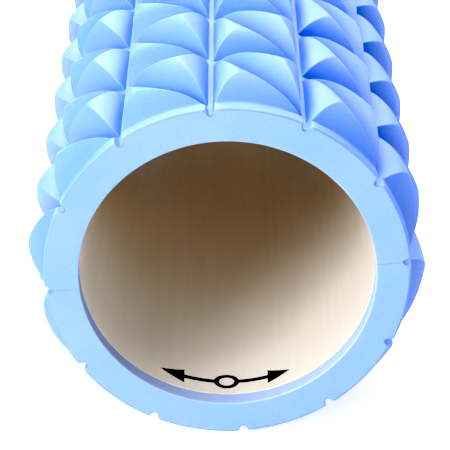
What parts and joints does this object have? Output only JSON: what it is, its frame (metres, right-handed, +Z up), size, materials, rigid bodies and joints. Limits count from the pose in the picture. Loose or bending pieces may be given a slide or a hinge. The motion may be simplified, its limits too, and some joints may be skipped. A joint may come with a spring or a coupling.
{
  "type": "foam roller",
  "caption": "Hollow massage roller: a rigid core tube in a glued two-part foam sleeve whose surface is a grid of grooved triangular pyramids.",
  "frame": {"origin": "on the surface the roller lies on, under the middle of the roller: the centre of the bottom of its bounding box", "axes": "+Y along the roller's axis, towards the end away from the printed mark; +Z up; +X to the right as seen from the -Y end"},
  "size_m": [0.1384, 0.33, 0.1384],
  "materials": {
    "core_plastic": "satin cream hard plastic, smooth",
    "foam": "satin light blue moulded EVA foam with a fine skin",
    "adhesive": "thin dried contact glue, dull",
    "ink": "flat black print"
  },
  "bodies": {
    "root": {"core_tube": "core_plastic", "foam_half_upper": "foam", "foam_half_lower": "foam", "adhesive_film_upper": "adhesive", "adhesive_film_lower": "adhesive", "seam_glue_right": "adhesive", "seam_glue_left": "adhesive", "printed_mark": "ink"}
  },
  "joints": []
}
